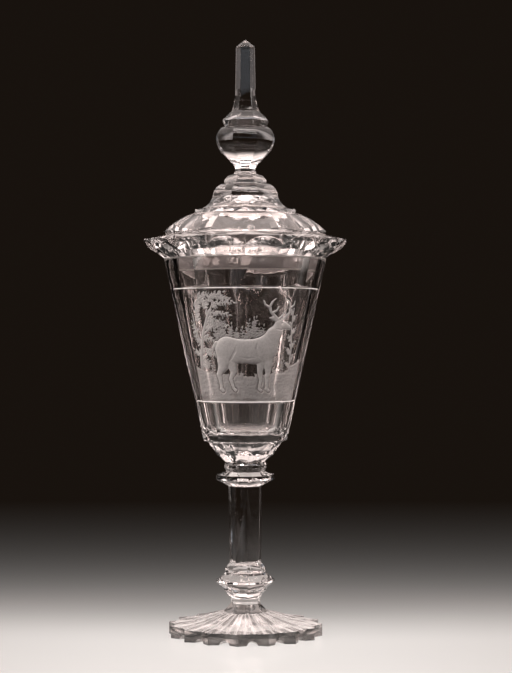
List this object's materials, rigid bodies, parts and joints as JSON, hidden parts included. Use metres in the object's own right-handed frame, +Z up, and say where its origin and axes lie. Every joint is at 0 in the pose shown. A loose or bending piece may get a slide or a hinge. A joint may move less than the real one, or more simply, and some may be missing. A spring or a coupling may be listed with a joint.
{
  "type": "covered goblet",
  "caption": "Tall clear cut-glass goblet with a petal foot, faceted stem, conical bowl with a round front panel, and a loose domed cover with a lobed brim and faceted finial.",
  "frame": {"origin": "centre of the foot's resting face, on the goblet's axis", "axes": "+Z up along the goblet's axis; the engraved front panel and its middle ridge face -Y"},
  "size_m": [0.1542, 0.1542, 0.45],
  "materials": {
    "clear_glass": "polished clear cut glass"
  },
  "bodies": {
    "goblet": {"foot": "clear_glass", "lower_knop": "clear_glass", "stem": "clear_glass", "stem_collar": "clear_glass", "bowl_bead": "clear_glass", "bowl": "clear_glass"},
    "cover": {"cover": "clear_glass", "cover_cap": "clear_glass", "finial_bulb": "clear_glass", "finial_disc": "clear_glass", "finial_spire": "clear_glass"}
  },
  "joints": [
    {"name": "cover_lift", "type": "slide", "parent": "goblet", "child": "cover", "axis": [0, 0, 1], "range_m": [0, 0.12]}
  ]
}
